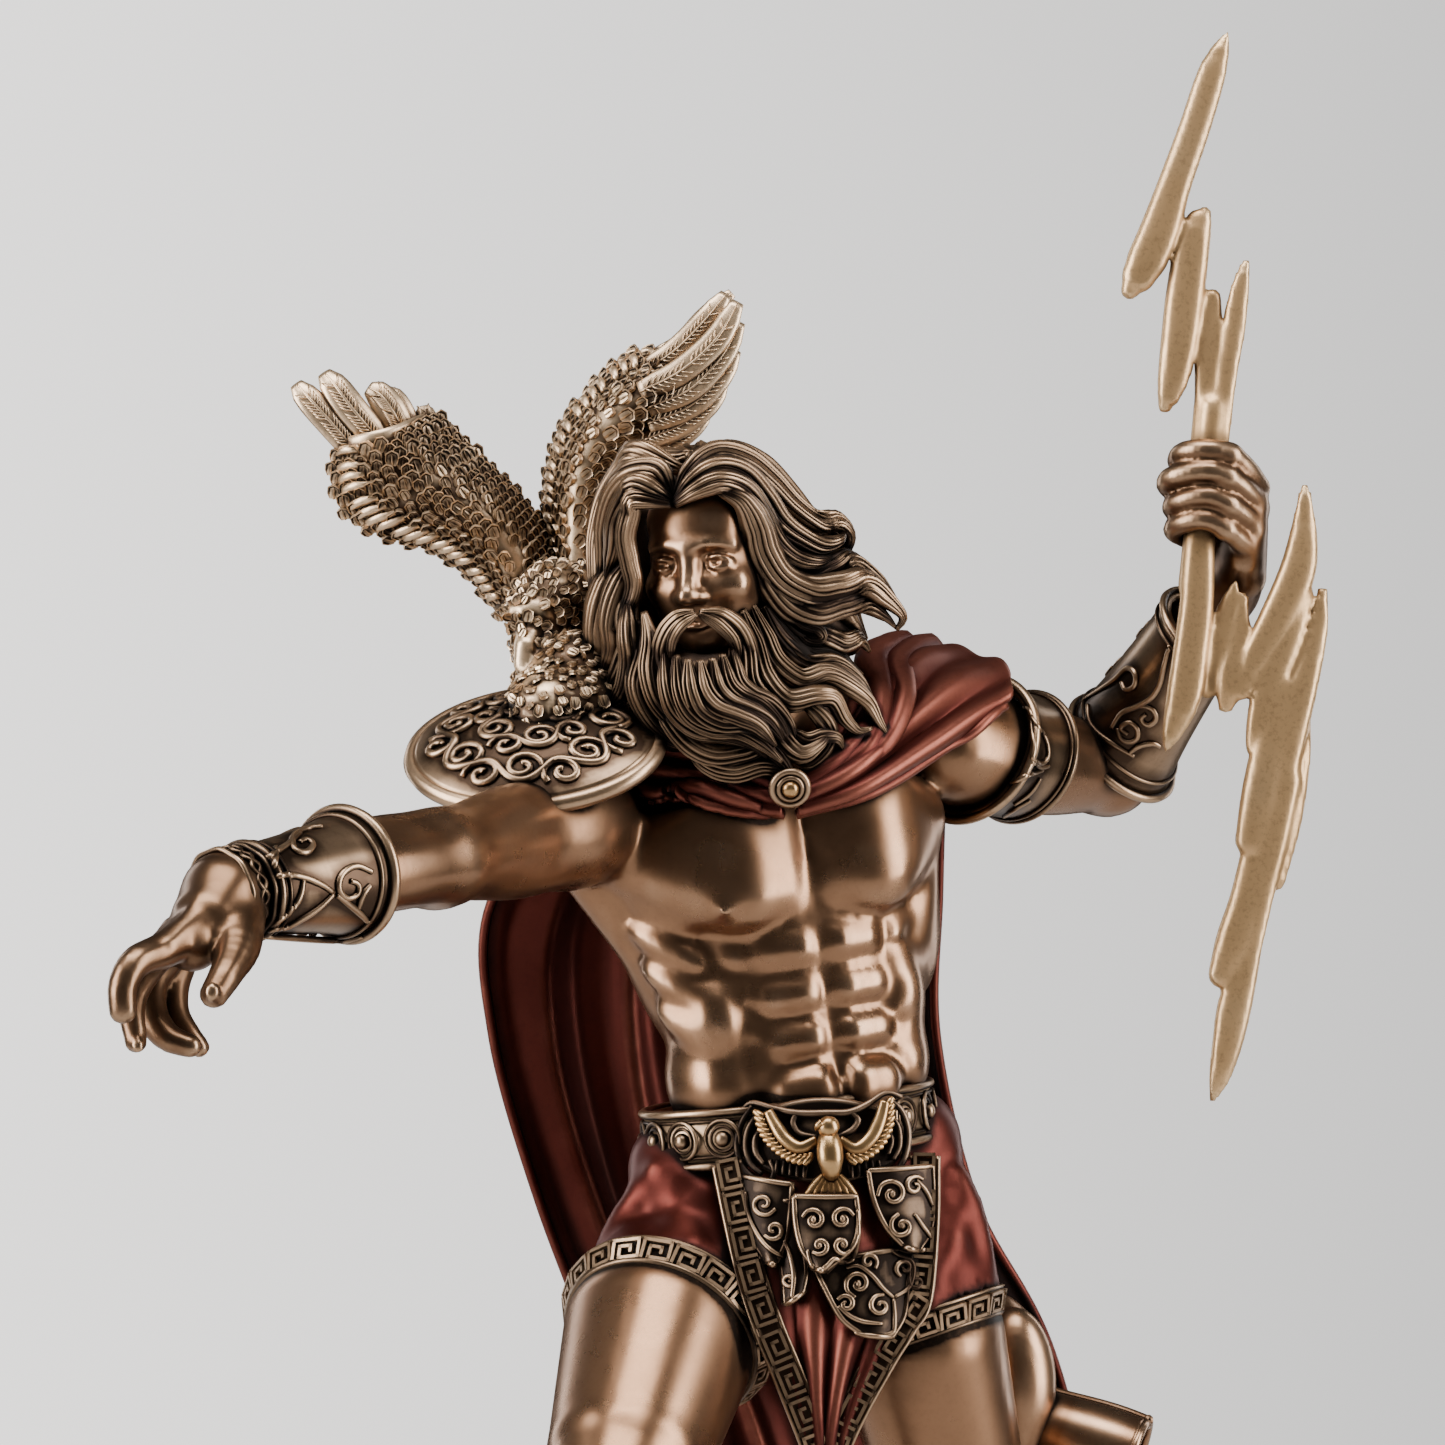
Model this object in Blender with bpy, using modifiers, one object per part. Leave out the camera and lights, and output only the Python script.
# Zeus with his eagle and thunderbolt: a cold-cast bronze statuette on a round plinth.
# Metres, +Z up, the figure faces -Y, the origin is the centre of the plinth's underside.
# The free forms are laid out in shares of the figure's own height: one unit is 1/231 of it.
import math

import bmesh
import bpy
from mathutils import Matrix, Vector

# Driving sizes, in metres
FIGURE_HEIGHT = 0.231
PLINTH_RADIUS = 0.06
PLINTH_HEIGHT = 0.012
PLINTH_STEP = 0.0035
SEAT_CLEARANCE = 0.0003
GRIP_WIDTH = 0.0052
GRIP_DEPTH = 0.0042
GRIP_CLEARANCE = 0.0003
BOLT_THICKNESS = 0.0048
CAPE_THICKNESS = 0.0026
PERCH_CLEARANCE = 0.0004

UNITS_TALL = 231
UNIT = FIGURE_HEIGHT / UNITS_TALL
GROUND = PLINTH_HEIGHT + SEAT_CLEARANCE

# Joints of the skeleton, in units above the ground
CHEST = Vector((0, -3, 170))
PELVIS = Vector((1.5, 0, 130))
HEAD = Vector((-9.5, -12, 216.6))
NECK = Vector((-2, -3, 191))
SHOULDER_R = Vector((-26, -11, 182.5))
ELBOW_R = Vector((-45, -42, 178))
WRIST_R = Vector((-69.8, -70, 174.1))
SHOULDER_L = Vector((21.5, 6, 192.2))
ELBOW_L = Vector((44.5, 33, 188.5))
WRIST_L = Vector((59.8, 13, 213.2))
FIST_L = Vector((55.8, 5, 225.7))
HIP_R = Vector((-10, -4, 124))
KNEE_R = Vector((-25, -41, 87.6))
ANKLE_R = Vector((-27, -28, 38))
HIP_L = Vector((11, 4, 126))
KNEE_L = Vector((27, 12, 71))
ANKLE_L = Vector((36, 30, 17))
PERCH = Vector((-33.2, -14, 189.4))
EAGLE = Vector((-29, 8, 208))


def frame(origin, side, up):
    """A frame with local X along side, local Z as near up as it can be and local -Y to the front."""
    x = Vector(side).normalized()
    y = Vector(up).cross(x).normalized()
    z = x.cross(y)
    made = Matrix((x, y, z)).transposed().to_4x4()
    made.translation = origin
    return made


def along(start, end, facing):
    """A frame at start with local Z towards end and local -Y towards facing."""
    z = (Vector(end) - Vector(start)).normalized()
    front = Vector(facing) - Vector(facing).project(z)
    y = -front.normalized()
    made = Matrix((y.cross(z), y, z)).transposed().to_4x4()
    made.translation = start
    return made


CHEST_FRAME = frame(CHEST, (48, 16, 7.5), (-0.12, -0.03, 0.99))
PELVIS_FRAME = frame(PELVIS, (0.95, 0.25, 0.10), (-0.05, 0, 1))
HEAD_FRAME = frame(HEAD, (0.93, -0.36, 0.05), (-0.05, -0.12, 1))
GUARD_FRAME = frame(PERCH, (32.5, -6, 3), (-0.19, -0.58, 0.79))
FIST_FRAME = frame(FIST_L, (1, 0, -0.11), (0.11, 0, 1))


def route(points, steps):
    """A smooth curve through the points, with this many steps between two of them."""
    points = [Vector(point) for point in points]
    ends = [points[0], *points, points[-1]]
    made = []
    for a, b, c, d in zip(ends, ends[1:], ends[2:], ends[3:]):
        for step in range(steps):
            t = step / steps
            bend = 2 * a - 5 * b + 4 * c - d
            turn = 3 * b - a - 3 * c + d
            made.append(0.5 * (2 * b + (c - a) * t + bend * t * t + turn * t ** 3))
    return [*made, points[-1]]


def at(line, share):
    """The point at a share, from 0 to 1, of a line of points."""
    place = share * (len(line) - 1)
    low = min(int(place), len(line) - 2)
    return line[low].lerp(line[low + 1], place - low)


def surface_between(lines):
    """A surface through lines of points: u runs from line to line and v along them."""
    smooth = [route(line, 8) for line in lines]
    return lambda u, v: at(route([at(line, v) for line in smooth], 6), u)


class Clay:
    """Closed masses that overlap in one mesh, in units, for a Remesh modifier to make one skin of."""

    def __init__(self):
        self.bm = bmesh.new()

    def ball(self, centre, radii, axes=None, floor=-1):
        """An ellipsoid, cut off flat at floor. axes is the frame of its centre and radii."""
        placed = (axes or Matrix()) @ Matrix.Translation(centre) @ Matrix.Diagonal((*radii, 1))
        made = bmesh.ops.create_icosphere(self.bm, subdivisions=3, radius=1)
        for vertex in made["verts"]:
            vertex.co.z = max(vertex.co.z, floor)
            vertex.co = placed @ vertex.co

    def limb(self, start, end, start_radius, end_radius, axes=None):
        """A tapered rod with round ends."""
        axes = axes or Matrix()
        start, end = axes @ Vector(start), axes @ Vector(end)
        self.ball(start, (start_radius,) * 3)
        self.ball(end, (end_radius,) * 3)
        self.cone(start, end, start_radius, end_radius)

    def cone(self, start, end, start_radius, end_radius, flat=1):
        length = (Vector(end) - Vector(start)).length
        placed = along(start, end, (0.31, -0.87, 0.4)) @ Matrix.Translation((0, 0, length / 2))
        bmesh.ops.create_cone(self.bm, cap_ends=True, segments=32, radius1=start_radius, radius2=end_radius,
                              depth=length, matrix=placed @ Matrix.Diagonal((1, flat, 1, 1)))

    def chain(self, points, radii):
        """Rods from point to point."""
        for start, end, wide, narrow in zip(points, points[1:], radii, radii[1:]):
            self.limb(start, end, wide, narrow)

    def muscle(self, start, end, width, depth, facing, axes=None):
        """An ellipsoid from start to end, with its depth towards facing."""
        axes = axes or Matrix()
        start, end = axes @ Vector(start), axes @ Vector(end)
        half = (end - start).length / 2
        self.ball((0, 0, half), (width, depth, half), along(start, end, facing))

    def tubes(self, lines, radii, sides=3):
        """Tapered round tubes along lines of points. radii are spread along each one."""
        curve = bpy.data.curves.new("guide", "CURVE")
        curve.dimensions = "3D"
        curve.bevel_depth = 1
        curve.bevel_resolution = sides
        curve.use_fill_caps = True
        widths = [Vector((radius, 0, 0)) for radius in radii]
        for line in lines:
            spline = curve.splines.new("POLY")
            spline.points.add(len(line) - 1)
            for number, point in enumerate(line):
                spline.points[number].co = (*point, 1)
                spline.points[number].radius = at(widths, number / (len(line) - 1)).x
        guide = bpy.data.objects.new("guide", curve)
        bpy.context.scene.collection.objects.link(guide)
        self.add(guide)
        bpy.data.curves.remove(curve)

    def sheet(self, columns, rows, surface, thickness):
        """A curved sheet: surface(u, v) gives its points, with u and v from 0 to 1."""
        sheet = bmesh.new()
        bmesh.ops.create_grid(sheet, x_segments=columns, y_segments=rows, size=0.5)
        for vertex in sheet.verts:
            vertex.co = surface(vertex.co.x + 0.5, vertex.co.y + 0.5)
        bmesh.ops.recalc_face_normals(sheet, faces=sheet.faces)
        bmesh.ops.solidify(sheet, geom=sheet.faces[:], thickness=thickness)
        mesh = bpy.data.meshes.new("sheet")
        sheet.to_mesh(mesh)
        sheet.free()
        self.bm.from_mesh(mesh)
        bpy.data.meshes.remove(mesh)

    def add(self, made):
        """Take in an object as it looks with its modifiers, and remove the object."""
        graph = bpy.context.evaluated_depsgraph_get()
        mesh = bpy.data.meshes.new_from_object(made.evaluated_get(graph))
        self.bm.from_mesh(mesh)
        bpy.data.objects.remove(made)
        bpy.data.meshes.remove(mesh)

    def settle(self, voxel, smoothing):
        """Melt what is there so far into one soft form."""
        mesh = bpy.data.meshes.new("soft form")
        bmesh.ops.recalc_face_normals(self.bm, faces=self.bm.faces)
        self.bm.to_mesh(mesh)
        self.bm.clear()
        made = bpy.data.objects.new("soft form", mesh)
        bpy.context.scene.collection.objects.link(made)
        skin(made, voxel, smoothing, 0.5)
        self.add(made)
        bpy.data.meshes.remove(mesh)

    def to_object(self, name):
        mesh = bpy.data.meshes.new(name)
        self.bm.transform(Matrix.Scale(UNIT, 4))
        bmesh.ops.recalc_face_normals(self.bm, faces=self.bm.faces)
        self.bm.to_mesh(mesh)
        self.bm.free()
        made = bpy.data.objects.new(name, mesh)
        made.location = (0, 0, GROUND)
        return made


def material(name, colour, metallic, roughness):
    made = bpy.data.materials.new(name)
    made.use_nodes = True
    shader = made.node_tree.nodes["Principled BSDF"]
    shader.inputs["Base Color"].default_value = (*colour, 1)
    shader.inputs["Metallic"].default_value = metallic
    shader.inputs["Roughness"].default_value = roughness
    return made


def skin(made, voxel, smoothing, share):
    """One closed skin round overlapping masses, smoothed and thinned to a share of its faces."""
    remesh = made.modifiers.new("one skin", "REMESH")
    remesh.mode = "VOXEL"
    remesh.voxel_size = voxel
    smooth = made.modifiers.new("smooth", "SMOOTH")
    smooth.factor = 0.5
    smooth.iterations = smoothing
    thin = made.modifiers.new("thin", "DECIMATE")
    thin.ratio = share


def cut(made, cutter):
    taken = made.modifiers.new("cut " + cutter.name, "BOOLEAN")
    taken.operation = "DIFFERENCE"
    taken.solver = "EXACT"
    taken.object = cutter


# The body

def torso(clay):
    chest = CHEST_FRAME
    clay.ball((-0.5, 1, -3), (18.5, 12, 21), chest)
    clay.ball((0, 2, 13), (19, 9.5, 9), chest)
    clay.ball((-1, 0.5, -20), (16.8, 10.5, 15), chest)
    clay.ball((0, 0, 3), (17, 12, 12), PELVIS_FRAME)
    clay.ball((-11.2, -6.6, 7.5), (12.4, 6, 9), chest)
    clay.ball((9.4, -7, 7.5), (10.6, 6, 9), chest)
    for side in (-1, 1):
        clay.ball((side * 16.5, 3, 0), (6, 8, 15), chest)
        clay.ball((side * 13, 0, -22), (5.8, 8, 6.5), chest)
        for row in range(4):
            clay.ball((side * 4.2, -8.4 + 0.3 * row, -3 - 6.1 * row), (4.1, 3, 3.1), chest)
        for rib in range(3):
            clay.ball((side * (14 - rib), -6.4, -3.5 - 4.6 * rib), (3.2, 2.6, 2.3), chest)
        clay.ball((side * 8.5, 7, -6), (9, 8.5, 10), PELVIS_FRAME)
    clay.limb(NECK, HEAD + Vector((2, 3, -8)), 8, 7.2)
    clay.limb(NECK + Vector((0, 3, 3)), SHOULDER_R + Vector((5, 4, 4)), 6, 5)
    clay.limb(NECK + Vector((0, 3, 3)), SHOULDER_L + Vector((-4, 2, 1)), 6, 5.5)


def arm(clay, shoulder, elbow, wrist, inner):
    """An arm with its biceps and the inside of its forearm towards inner."""
    upper, fore = along(shoulder, elbow, inner), along(elbow, wrist, inner)
    long, short = (elbow - shoulder).length, (wrist - elbow).length
    clay.limb(shoulder, elbow, 7, 5.6)
    clay.muscle((0, 0, -7), (0, 0, 0.5 * long), 9, 8.6, inner, upper)
    clay.muscle((0, -3, 0.2 * long), (0, -2, 0.98 * long), 5.2, 4.8, inner, upper)
    clay.muscle((0, 2.8, 0.1 * long), (0, 2.4, 0.98 * long), 5.4, 4.6, inner, upper)
    clay.limb(elbow, wrist, 5.8, 4.2)
    clay.muscle((1.6, -0.8, -3), (1, 0, 0.8 * short), 5, 5.4, inner, fore)
    clay.muscle((-1.6, 1, -2), (-1, 0, 0.8 * short), 5, 5.2, inner, fore)


def leg(clay, hip, knee, ankle, facing, toes, bulk):
    upper, lower = along(hip, knee, facing), along(knee, ankle, facing)
    long, short = (knee - hip).length, (ankle - knee).length
    clay.limb(hip, knee, 11.4 * bulk, 7.4)
    clay.muscle((0, -3.4, 0.1 * long), (0, -2, 0.95 * long), 7 * bulk, 6.3 * bulk, facing, upper)
    clay.muscle((4.2, -1, 0.1 * long), (3, -1, 0.94 * long), 6 * bulk, 6.6 * bulk, facing, upper)
    clay.muscle((-4.2, -1, 0.1 * long), (-3.2, -1.2, 0.98 * long), 5.8 * bulk, 6.2 * bulk, facing, upper)
    clay.muscle((0, 3.6, 0.08 * long), (0, 2.8, 0.98 * long), 7.6 * bulk, 6 * bulk, facing, upper)
    clay.ball((0, -2.6, 0), (5, 4.6, 5.6), lower)
    clay.limb(knee, ankle, 7.2, 4.8)
    clay.muscle((2, 4.4, 0), (0.5, 1.8, 0.64 * short), 6, 6.6, facing, lower)
    clay.muscle((-2, 4.4, 0.02 * short), (-0.5, 1.8, 0.58 * short), 5.6, 6.4, facing, lower)
    clay.muscle((0, -2.2, 0.04 * short), (0, -0.5, 0.8 * short), 4.4, 4, facing, lower)
    foot = frame(ankle, Vector((0, 0, 1)).cross(toes), (0, 0, 1))
    clay.limb((0, 4.5, -4.6), (0, -13, -5.8), 4.9, 3.6, foot)
    clay.limb((0, 0, -1), (0, -12, -4.8), 4.9, 3.4, foot)
    for toe in range(5):
        across = 4.2 - 2.1 * toe
        reach = 21 - 1.2 * abs(toe - 1)
        clay.limb((across * 0.8, -11, -5.8), (across, -reach, -7.2), 2.4, 1.6, foot)


def open_hand(clay):
    """The right hand, held out palm down with loosely bent fingers."""
    fingers = (
        ((-73, -82, 167.8), (-80.4, -83, 165.2), (-81.2, -82.6, 161.6), (-80.8, -81.6, 159.8)),
        ((-75, -77, 169), (-81, -77.4, 163.4), (-81, -77.4, 159), (-80, -77, 156)),
        ((-75.6, -72, 168.6), (-79.6, -71, 162.5), (-78.4, -71.6, 157.6), (-74.2, -73, 155.6)),
        ((-74.4, -68, 167.6), (-77.5, -66.4, 162.3), (-76.2, -66.8, 158.8), (-74.6, -68, 156.6)),
    )
    thumb = ((-67.6, -73, 170.4), (-67.4, -77, 167), (-69.4, -80, 164.8), (-70.2, -80.6, 163))
    for finger in fingers:
        joints = [Vector(joint) for joint in finger]
        clay.chain(joints, (2.3, 2.1, 1.9, 1.6))
        clay.limb(WRIST_R.lerp(joints[0], 0.1), joints[0], 3.4, 2.6)
    clay.chain([Vector(joint) for joint in thumb], (3, 2.6, 2.1, 1.8))
    clay.ball((-69.5, -72, 167.6), (3.4, 4, 3.4))


def fist(clay):
    """The left hand, closed round the grip: local Z is the grip's own axis."""
    for finger in range(4):
        height = 5.2 - 3.45 * finger
        out = (0, 1.6, 1.6, 0.8)[finger]
        joints = ((5.6 + out, -2.6, height + 0.3), (0.6, -4.4, height), (-2.6 - out * 0.6, -3.2, height),
                  (-4 - out * 0.4, 1.4, height - 0.3), (-1.6, 4.4, height - 0.4))
        joints = [FIST_FRAME @ Vector(joint) for joint in joints]
        clay.chain(joints, (2.2, 2, 2, 1.9, 1.7))
        clay.limb(WRIST_L.lerp(joints[0], 0.2), joints[0], 3.2, 2.4)
    thumb = [FIST_FRAME @ Vector(joint) for joint in ((2, 6, -8), (-1, 6.6, -3), (-3.4, 5.4, 2), (-3.6, 3.6, 5))]
    clay.chain((WRIST_L, *thumb), (3.2, 2.8, 2.4, 2, 1.7))


def head(clay):
    axes = HEAD_FRAME
    clay.ball((0, 2, 3), (9.2, 11.4, 10.4), axes)
    clay.ball((0, -3.4, -5), (7, 6.6, 8), axes)
    clay.limb((-4.4, -8.2, 3.4), (4.4, -8.2, 3.4), 1.7, 1.7, axes)
    clay.limb((0, -9.2, 3), (0, -11.8, -2.8), 1.1, 1.8, axes)
    for side in (-1, 1):
        clay.ball((side * 4.6, -6.6, -1.6), (2.8, 2.8, 2.4), axes)


# Hair and beard: each family of locks lies between two lines, with a count of locks

HAIR = (
    # over the crown to the left of the figure, ending in blown curls
    ([(-13.5, -23.5, 222.5), (-9, -22.4, 227), (-2, -18.5, 223.5), (2, -15, 215), (8, -13.5, 210.5), (14.5, -12, 208.6)],
     [(-11.5, -8, 228.8), (-6, -5, 227.6), (-1, -3, 223), (3, -4, 219), (6, -7, 218), (8.4, -9, 220.4)], 5),
    # down the figure's right temple
    ([(-14.5, -23, 222.5), (-19, -20.5, 223.6), (-21.6, -18, 218), (-21.4, -16, 211), (-22.6, -15, 206)],
     [(-12, -6, 228.6), (-18, -4, 225.6), (-21.5, -3, 218), (-22, -3, 208), (-21, -3, 200)], 4),
    # down the back of the head
    ([(-14, 0, 227.5), (-17, 4, 220), (-16, 7, 209), (-13, 9, 199), (-11, 9, 193)],
     [(-5, -1, 227.5), (2.5, 1.5, 220), (6, 3, 210), (8, 4, 203), (12, 3, 200)], 5),
    # beside the left cheek, blown out
    ([(-1, -16, 217), (0, -15, 210), (4, -14, 206), (9, -13, 204.4), (13, -12, 203)],
     [(3, -8, 216), (5, -7, 208), (8, -7, 204), (11, -7, 203), (14, -8, 200)], 3),
)
BEARD = (
    ([(-18.4, -18.5, 209), (-18.6, -20, 203), (-16.4, -21.5, 196.5), (-11, -21, 191.5), (-6.4, -19.5, 188.5)],
     [(-13, -24, 205), (-11.5, -25.5, 199), (-7, -24, 193.5), (-2, -21, 190), (1.4, -18.6, 188)], 4),
    ([(-10, -24.5, 205), (-8, -25, 199), (-3, -23, 195), (2.4, -20, 192.5), (6, -18, 190)],
     [(-3, -18.5, 209), (-1, -19, 204), (2.6, -18, 200), (8, -16, 197.6), (12.6, -14.4, 193.6)], 4),
)
MOUSTACHE = (
    [(-13, -24.8, 211.4), (-16.6, -23.6, 209.5), (-18.2, -22.6, 205), (-17.6, -22.8, 201)],
    [(-12.4, -24.8, 211.4), (-8, -24.2, 210), (-5.4, -23, 206), (-4.4, -22, 201.5)],
)


def locks(clay):
    clay.ball((0.5, 2.6, 3.6), (10, 11.4, 10.6), HEAD_FRAME)
    clay.ball((-9.6, -18, 199.6), (6, 4.4, 7))
    for families, radii in ((HAIR, (1.2, 2.2, 2.4, 2.2, 1.8, 0.7)), (BEARD, (1.5, 2.4, 2.4, 1.8, 0.7))):
        for first, second, count in families:
            first, second = route(first, 4), route(second, 4)
            for number in range(count):
                share = number / (count - 1)
                clay.tubes([[a.lerp(b, share) for a, b in zip(first, second)]], radii)
    clay.tubes([route(side, 3) for side in MOUSTACHE], (1.5, 1.8, 1.4, 0.7))


# Dress and armour

CAPE = (
    [(-26, 2, 188), (-40, 12, 171), (-40, 16, 153), (-33.6, 20, 130), (-25.6, 26, 106), (-18, 30, 78)],
    [(-15, 9, 194), (-24, 20, 171), (-24, 25, 150), (-18, 30, 125), (-8, 36, 96), (0, 40, 64)],
    [(-3, 12, 197), (-6, 22, 171), (-6, 27, 150), (0, 33, 122), (10, 40, 94), (20, 47, 58)],
    [(10, 13, 197), (9, 20, 172), (10, 24, 150), (16, 29, 122), (26, 38, 97), (38, 45, 68)],
    [(21, 12, 193), (20, 14, 172), (19.4, 16, 152), (25, 22, 128), (35, 27, 108), (43, 36, 78)],
)
MANTLE = (
    [(26, 9, 200.4), (17, 9, 201.6), (8, 6, 203), (1, 0, 202)],
    [(29, 3, 200), (20, 2, 199.6), (11, -4, 198), (5, -11, 193.5)],
    [(30, -2, 199), (24, -9, 195.4), (14, -15, 189), (1.6, -18.4, 184.8)],
)
COLLAR = (
    ((1.6, -18.6, 184.6), (-6, -18.8, 184), (-13, -18, 184.6), (-19, -16.4, 186)),
    ((1, -17.4, 187), (-6, -17.4, 187.6), (-13, -16, 189.6), (-19, -13, 192)),
    ((30, -1, 198.6), (24, -9, 194.8), (14, -15.4, 188.6), (1.6, -18.8, 184.4)),
    ((27, 3, 199.6), (19, -2, 198), (11, -9, 193.6), (3, -14, 189)),
)


def dress(clay):
    fall = surface_between(CAPE)
    clay.sheet(40, 36, lambda u, v: fall(u, v) + Vector((0, 1, 0)) * (
        (0.8 + 3.2 * v) * math.sin(math.tau * (3.4 * u + 0.5 * v))), CAPE_THICKNESS / UNIT)
    clay.sheet(8, 12, surface_between(MANTLE), 3.4)
    clay.tubes([route(fold, 5) for fold in COLLAR], (2, 2.6, 2.8, 2.4))
    clay.ball((1.2, -19.6, 186.6), (2.9, 2, 2.9))
    # the blown end of the cape, puffed and rolled into an open tube
    clay.tubes([route(((22, 22, 104), (32, 22, 99), (40, 20, 95.5), (47, 18, 92)), 4)], (4, 4.4, 4.4, 4.6), 5)
    clay.ball((29, 24, 107), (8.5, 5, 10))
    # kilt over both thighs
    clay.cone((-10.5, 3, 125), (-17.2, -13.4, 113.8), 12.5, 14.6)
    clay.cone((11.5, 2, 130), (17.4, 0, 112.4), 11.4, 13)
    clay.ball((0, 0, 0), (18.6, 13.6, 13), PELVIS_FRAME)
    # the flap that hangs between the legs
    clay.sheet(12, 12, lambda u, v: Vector((
        -9 + 27 * u + (14 - 27 * u) * v * v, -12.6 - 7 * v + 1.2 * math.sin(14 * u) * v, 137 - 44 * v)), 3)
    # belt, buckle and apron
    ring = PELVIS_FRAME @ Matrix.Translation((-0.5, -0.4, 11.6)) @ Matrix.Diagonal((1, 0.7, 1, 1))
    bmesh.ops.create_cone(clay.bm, cap_ends=True, segments=40, radius1=20, radius2=19.8, depth=7.4, matrix=ring)
    clay.ball((2.6, -13.4, 11.5), (9, 3, 5.6), PELVIS_FRAME)
    clay.muscle((2.6, -14, 8), (6, -17.6, -17), 7, 2.4, (0, -1, 0), PELVIS_FRAME)
    # shoulder guard over the right shoulder
    clay.ball((0, 0, 0), (17, 13.6, 6.6), GUARD_FRAME, -0.1)
    rim = [GUARD_FRAME @ Vector((16.6 * math.cos(a), 13 * math.sin(a), 0)) for a in
           (math.tau * n / 40 for n in range(41))]
    clay.tubes([rim], (1.3, 1.3))
    # bracers and arm ring
    clay.cone(ELBOW_R.lerp(WRIST_R, 0.24), ELBOW_R.lerp(WRIST_R, 0.98), 7.5, 5)
    clay.cone(ELBOW_L.lerp(WRIST_L, 0.12), ELBOW_L.lerp(WRIST_L, 0.86), 7.6, 5.4)
    clay.cone(SHOULDER_L.lerp(ELBOW_L, 0.42), SHOULDER_L.lerp(ELBOW_L, 0.62), 9.6, 8.8)


def rocks(clay):
    """The rocky ground under the feet, cast in one with them."""
    clay.ball((0, -2, 0), (50, 49, 7))
    clay.ball((-28, -34, 4), (15, 17, 26.6))
    clay.ball((-16, -26, 4), (15, 13, 15))
    clay.ball((34, 26, 1), (15, 19, 9))
    clay.ball((4, 24, 1), (17, 13, 13))
    clay.ball((16, -22, 0), (15, 12, 9))


def make_figure(cutters):
    clay = Clay()
    torso(clay)
    arm(clay, SHOULDER_R, ELBOW_R, WRIST_R, Vector((0.2, -0.4, 0.9)))
    arm(clay, SHOULDER_L, ELBOW_L, WRIST_L, Vector((0.3, -0.5, 0.9)))
    leg(clay, HIP_R, KNEE_R, ANKLE_R, Vector((-0.3, -1, 0.4)), Vector((-0.25, -1, 0)), 1)
    leg(clay, HIP_L, KNEE_L, ANKLE_L, Vector((0.25, -1, 0)), Vector((0.5, -1, 0)), 0.86)
    rocks(clay)
    clay.settle(0.8, 5)
    open_hand(clay)
    fist(clay)
    head(clay)
    locks(clay)
    dress(clay)
    figure = clay.to_object("figure")
    skin(figure, 0.8 * UNIT, 2, 0.0182)
    for cutter in cutters:
        cut(figure, cutter)
    return figure


# The thunderbolt: flat shards with a ridge along the middle. Each has how far it lies in front of the
# grip, then its outline there: from its top point down one side and up the other.

SHARDS = (
    (0, (59, 288.4), (57.8, 277), (54.3, 265.7), (50.9, 258), (45.7, 252.3), (44.7, 254.3), (48, 264.2), (52, 274.4)),
    (0.5, (56.2, 264.7), (56.3, 253.8), (55.3, 245.4), (50.5, 236.8), (49.5, 239.2), (49.9, 255.5), (53, 263.6)),
    (0, (61.6, 257.7), (62.1, 256.3), (61, 246.1), (59.2, 234), (54.3, 234), (54.4, 241.1), (56.2, 250.8)),
    (0, (53, 217.4), (57.3, 217.4), (57.6, 209), (55.4, 200), (50.9, 191), (50.3, 192.8), (51.2, 203.6)),
    (0.5, (60.1, 215.2), (62.8, 209.7), (62, 203), (59, 196.5), (57.1, 198.2), (55.9, 203), (56.8, 210)),
    (1.4, (69.7, 227.5), (70.8, 220.5), (70.2, 212.4), (67.5, 203), (61.7, 191.2), (61.2, 193.5), (62.1, 210.6),
     (65.9, 218.1)),
    (0.4, (72.2, 213.2), (72.8, 210.1), (71.3, 203.6), (68.9, 195.5), (63.7, 186.1), (62.4, 190.5),
     (64.8, 199.6), (68.9, 209.7)),
    (0.2, (69.9, 197), (70.2, 195.3), (69.3, 188.1), (65.6, 172.6), (64.8, 172.1), (63.7, 176.7), (66.8, 192.8)),
    (0.8, (67.5, 199.6), (68.3, 192.8), (65.5, 183.4), (60.5, 176.4), (59.6, 177.6), (61.2, 186.1), (62.5, 192.8)),
    (0.4, (64.6, 180.7), (65, 174), (62.1, 163.2), (57.3, 158.9), (56.3, 160.5), (58.9, 170.6), (61.6, 179.4)),
    (0, (63.7, 171.3), (63.2, 163.2), (61.2, 152), (57.7, 144.2), (56.9, 146.3), (57.5, 159.8), (59.7, 168.6)),
)


def shard(number, forward, outline):
    """A flat shard: its outline on two thin edges, and a thick ridge inside."""
    deep = BOLT_THICKNESS / UNIT / 2
    centre_x = sum(x for x, _ in outline) / len(outline)
    centre_z = sum(z for _, z in outline) / len(outline)
    solid = bmesh.new()
    for side in (-1, 1):
        for x, z in outline:
            solid.verts.new((x, FIST_L.y - forward + side * deep * 0.35, z))
            solid.verts.new((x * 0.55 + centre_x * 0.45, FIST_L.y - forward + side * deep,
                             z * 0.88 + centre_z * 0.12))
    bmesh.ops.convex_hull(solid, input=solid.verts[:])
    solid.transform(Matrix.Scale(UNIT, 4))
    bmesh.ops.recalc_face_normals(solid, faces=solid.faces)
    mesh = bpy.data.meshes.new("shard %d" % number)
    solid.to_mesh(mesh)
    solid.free()
    made = bpy.data.objects.new("shard %d" % number, mesh)
    made.location = (0, 0, GROUND)
    return made


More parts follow.
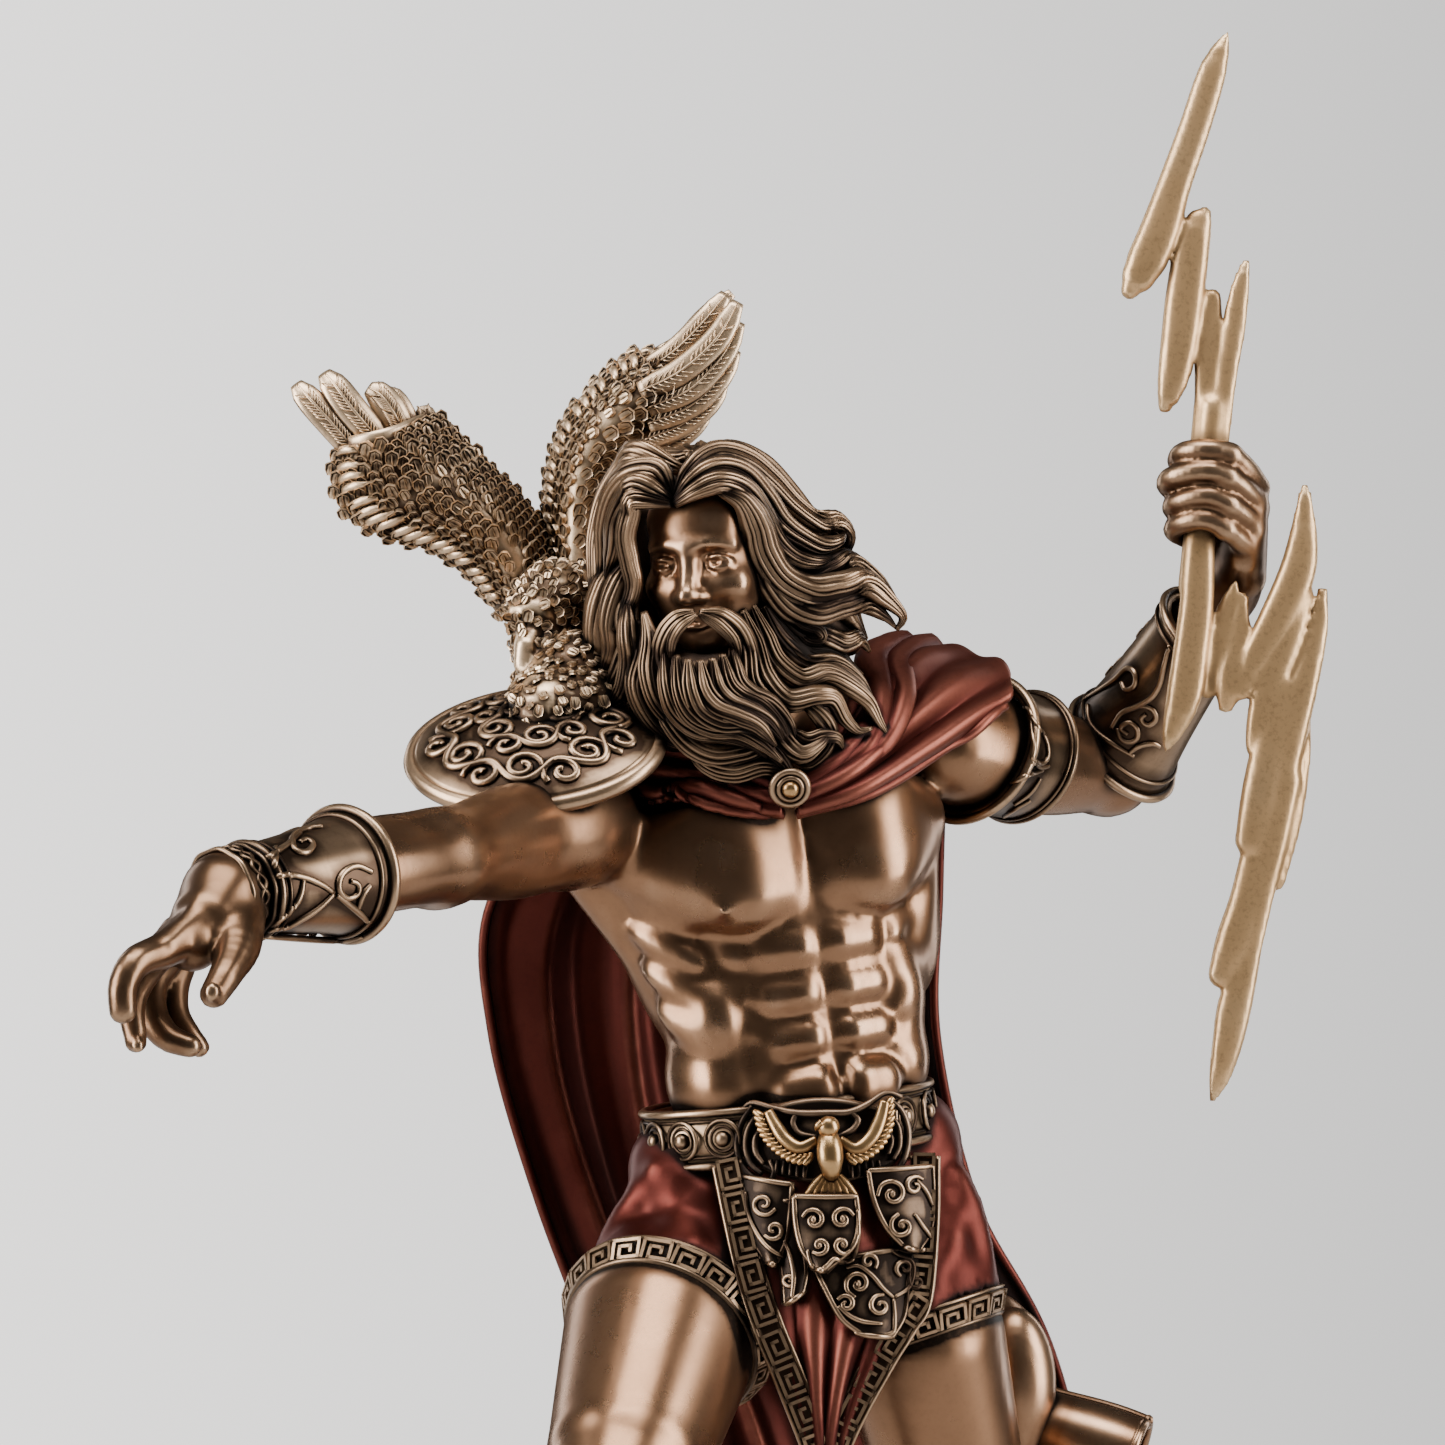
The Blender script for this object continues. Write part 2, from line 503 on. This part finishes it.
def grip(name, growth, length):
    """The bolt's oval shaft through the fist, grown all round by growth."""
    bpy.ops.mesh.primitive_cylinder_add(vertices=24, radius=0.5, depth=length)
    made = bpy.context.active_object
    made.name = name
    turn = FIST_FRAME.to_3x3().to_4x4()
    made.data.transform(turn @ Matrix.Diagonal((GRIP_WIDTH + 2 * growth, GRIP_DEPTH + 2 * growth, 1, 1)))
    made.location = FIST_L * UNIT + Vector((0, 0, GROUND))
    return made


def make_thunderbolt(helpers):
    """The shaft and its shards, joined into one piece."""
    bolt = grip("thunderbolt", 0, 22 * UNIT)
    for number, (forward, *outline) in enumerate(SHARDS):
        piece = shard(number, forward, outline)
        hide(piece, helpers)
        union = bolt.modifiers.new(piece.name, "BOOLEAN")
        union.operation = "UNION"
        union.solver = "EXACT"
        union.object = piece
    return bolt


# The eagle on the right shoulder: each wing lies between its leading and its trailing edge

WINGS = (
    ([(-35, 8, 210), (-40, 7, 217), (-48, 6, 219), (-57, 5, 221.5), (-60.6, 4, 229), (-67, 3, 241)],
     [(-31, 9, 217), (-33, 8, 224), (-38, 8, 231), (-45, 7, 236), (-52, 6, 240), (-61, 5, 243)]),
    ([(-31, 11, 214), (-32, 13, 226), (-30, 13, 235), (-25, 12, 243), (-16, 11, 249), (-8, 10, 253)],
     [(-25, 13, 214), (-24, 15, 225), (-18, 14, 232), (-12, 13, 237), (-9, 12, 243), (-6.4, 11, 250)]),
)


def mid_wing(lead, trail):
    """The line along the middle of a wing, where it bulges to the front."""
    return [Vector(a).lerp(Vector(b), 0.5) + Vector((0, -2, 0)) for a, b in zip(lead, trail)]


def make_eagle(figure, helpers):
    clay = Clay()
    clay.ball(EAGLE, (7, 9, 8))
    clay.limb(EAGLE + Vector((-1, -5, 3)), EAGLE + Vector((-4.4, -11, 2.6)), 6, 4.4)
    clay.limb(EAGLE + Vector((-5, -14, 0.6)), EAGLE + Vector((-6.4, -16, -4)), 2, 0.9)
    clay.limb(EAGLE + Vector((1, 4, -2)), EAGLE + Vector((4, 12, -8)), 6, 4)
    clay.ball(EAGLE + Vector((0, -4, -9)), (7, 7, 8))
    for lead, trail in WINGS:
        clay.sheet(10, 20, surface_between((lead, mid_wing(lead, trail), trail)), 3.6)
        for feather in range(5):
            share = feather / 4
            root = Vector(lead[3]).lerp(Vector(trail[4]), share)
            tip = Vector(lead[5]).lerp(Vector(trail[5]), share)
            clay.muscle(root, tip + (tip - root).normalized() * 2, 2, 1.6, (0, -1, 0))
    eagle = clay.to_object("eagle")
    skin(eagle, 0.6 * UNIT, 1, 0.03)
    # the eagle sits on whatever lies under it, so it is cut by the grown figure
    seat = figure.copy()
    seat.name = "perch cutter"
    hide(seat, helpers)
    grown = seat.modifiers.new("grown", "DISPLACE")
    grown.strength = PERCH_CLEARANCE
    grown.mid_level = 0
    clean = seat.modifiers.new("clean", "REMESH")
    clean.mode = "VOXEL"
    clean.voxel_size = 0.7 * UNIT
    cut(eagle, seat)
    return eagle


def make_plinth():
    """A turned plinth: a torus at the foot, a hollow and a top step."""
    top, half = PLINTH_RADIUS - PLINTH_STEP, PLINTH_HEIGHT * 0.22
    profile = [(0, PLINTH_HEIGHT), (top, PLINTH_HEIGHT), (top, PLINTH_HEIGHT - PLINTH_STEP)]
    for turn in range(1, 4):
        angle = math.pi / 2 * turn / 4
        profile.append((top - PLINTH_STEP * 0.5 * math.sin(angle), PLINTH_HEIGHT * 0.5 + half * math.cos(angle) * 0.6))
    for turn in range(7):
        angle = math.pi / 2 - math.pi * turn / 6
        profile.append((PLINTH_RADIUS - half + half * math.cos(angle), half + half * math.sin(angle)))
    profile.append((0, 0))
    mesh = bpy.data.meshes.new("plinth")
    mesh.from_pydata([(x, 0, z) for x, z in profile], [(n, n + 1) for n in range(len(profile) - 1)], [])
    plinth = bpy.data.objects.new("plinth", mesh)
    turn = plinth.modifiers.new("turn", "SCREW")
    turn.steps = turn.render_steps = 32
    turn.use_merge_vertices = True
    turn.merge_threshold = 0.00001
    return plinth


def hide(helper, helpers):
    """Keep an object that only shapes others out of the statue's own collection."""
    for owner in list(helper.users_collection):
        owner.objects.unlink(helper)
    helpers.objects.link(helper)
    helper.hide_render = True
    helper.display_type = "WIRE"


def main():
    for old in list(bpy.data.objects):
        bpy.data.objects.remove(old)
    statue = bpy.data.collections.new("Zeus statuette")
    helpers = bpy.data.collections.new("cutters")
    bpy.context.scene.collection.children.link(statue)
    bpy.context.scene.collection.children.link(helpers)

    grip_cutter = grip("grip cutter", GRIP_CLEARANCE, 22 * UNIT)
    hide(grip_cutter, helpers)
    bpy.ops.mesh.primitive_cube_add(size=1)
    floor_cutter = bpy.context.active_object
    floor_cutter.name = "floor cutter"
    floor_cutter.data.transform(Matrix.Diagonal((4 * PLINTH_RADIUS, 4 * PLINTH_RADIUS, 30 * UNIT, 1)))
    floor_cutter.location = (0, 0, GROUND - 15 * UNIT)
    hide(floor_cutter, helpers)

    figure = make_figure([grip_cutter, floor_cutter])
    pieces = (
        (figure, material("dark bronze", (0.30, 0.22, 0.16), 0.9, 0.35)),
        (make_thunderbolt(helpers), material("pale brass", (0.62, 0.48, 0.30), 0.9, 0.45)),
        (make_eagle(figure, helpers), material("feather bronze", (0.26, 0.21, 0.16), 0.85, 0.4)),
        (make_plinth(), material("plinth bronze", (0.16, 0.12, 0.09), 0.8, 0.4)),
    )
    for made, finish in pieces:
        for owner in list(made.users_collection):
            owner.objects.unlink(made)
        statue.objects.link(made)
        made.data.materials.append(finish)


main()
